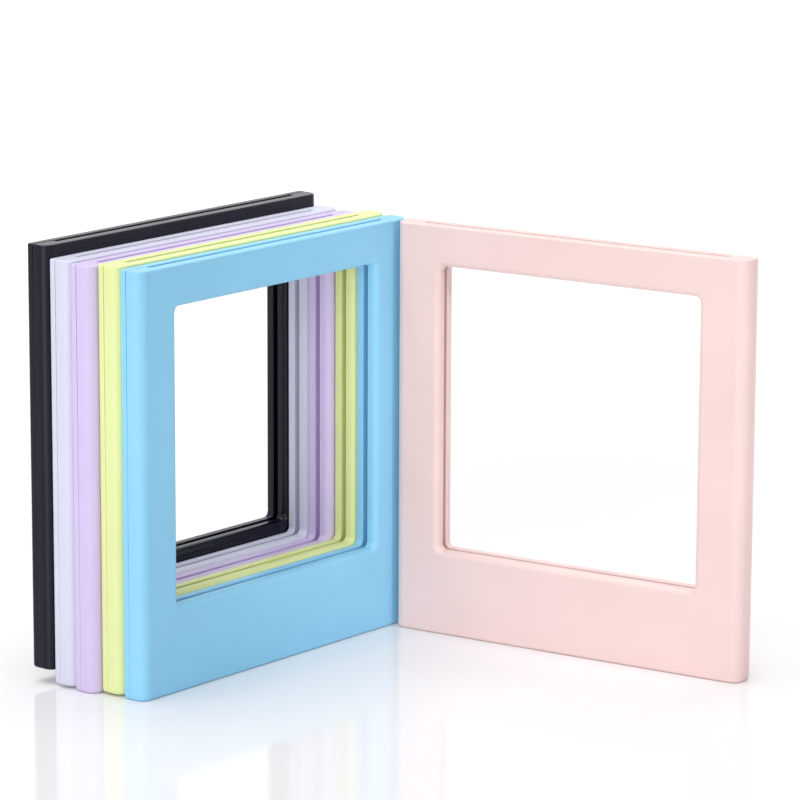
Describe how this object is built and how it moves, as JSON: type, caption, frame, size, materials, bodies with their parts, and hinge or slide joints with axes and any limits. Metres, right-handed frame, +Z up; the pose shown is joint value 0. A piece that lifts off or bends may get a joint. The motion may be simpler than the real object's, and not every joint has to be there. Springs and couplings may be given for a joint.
{
  "type": "magnetic photo frame set",
  "caption": "Stack of magnetic see-through frames for square instant film with another swung open at its side; each has a front shell, a back cover and magnets in its rails.",
  "frame": {"origin": "on the surface that the set stands on, at the middle of its box", "axes": "+X to the right of the stack seen from the front, +Y from the front of the stack to its back, +Z up"},
  "size_m": [0.0998, 0.114, 0.0935],
  "materials": {
    "black_plastic": "moulded ABS, satin",
    "lavender_plastic": "moulded ABS, satin",
    "lilac_plastic": "moulded ABS, satin",
    "yellow_plastic": "moulded ABS, satin",
    "blue_plastic": "moulded ABS, satin",
    "pink_plastic": "moulded ABS, satin",
    "magnet": "nickel-plated"
  },
  "bodies": {
    "black_frame": {"black_front_shell": "black_plastic", "black_back_cover": "black_plastic", "black_left_magnets": "magnet", "black_right_magnets": "magnet"},
    "lavender_frame": {"lavender_front_shell": "lavender_plastic", "lavender_back_cover": "lavender_plastic", "lavender_left_magnets": "magnet", "lavender_right_magnets": "magnet"},
    "lilac_frame": {"lilac_front_shell": "lilac_plastic", "lilac_back_cover": "lilac_plastic", "lilac_left_magnets": "magnet", "lilac_right_magnets": "magnet"},
    "yellow_frame": {"yellow_front_shell": "yellow_plastic", "yellow_back_cover": "yellow_plastic", "yellow_left_magnets": "magnet", "yellow_right_magnets": "magnet"},
    "blue_frame": {"blue_front_shell": "blue_plastic", "blue_back_cover": "blue_plastic", "blue_left_magnets": "magnet", "blue_right_magnets": "magnet"},
    "pink_frame": {"pink_front_shell": "pink_plastic", "pink_back_cover": "pink_plastic", "pink_left_magnets": "magnet", "pink_right_magnets": "magnet"}
  },
  "joints": [
    {"name": "lavender_pull", "type": "slide", "parent": "black_frame", "child": "lavender_frame", "axis": [0, -1, 0], "range_m": [0, 0.03]},
    {"name": "lilac_pull", "type": "slide", "parent": "lavender_frame", "child": "lilac_frame", "axis": [0, -1, 0], "range_m": [0, 0.03]},
    {"name": "yellow_pull", "type": "slide", "parent": "lilac_frame", "child": "yellow_frame", "axis": [0, -1, 0], "range_m": [0, 0.03]},
    {"name": "blue_pull", "type": "slide", "parent": "yellow_frame", "child": "blue_frame", "axis": [0, -1, 0], "range_m": [0, 0.03]},
    {"name": "pink_swing", "type": "hinge", "parent": "blue_frame", "child": "pink_frame", "pos_m": [0.03725, 0.02676, 0.04525], "axis": [0, 0, 1], "range_deg": [-8.2, 81.8]}
  ]
}
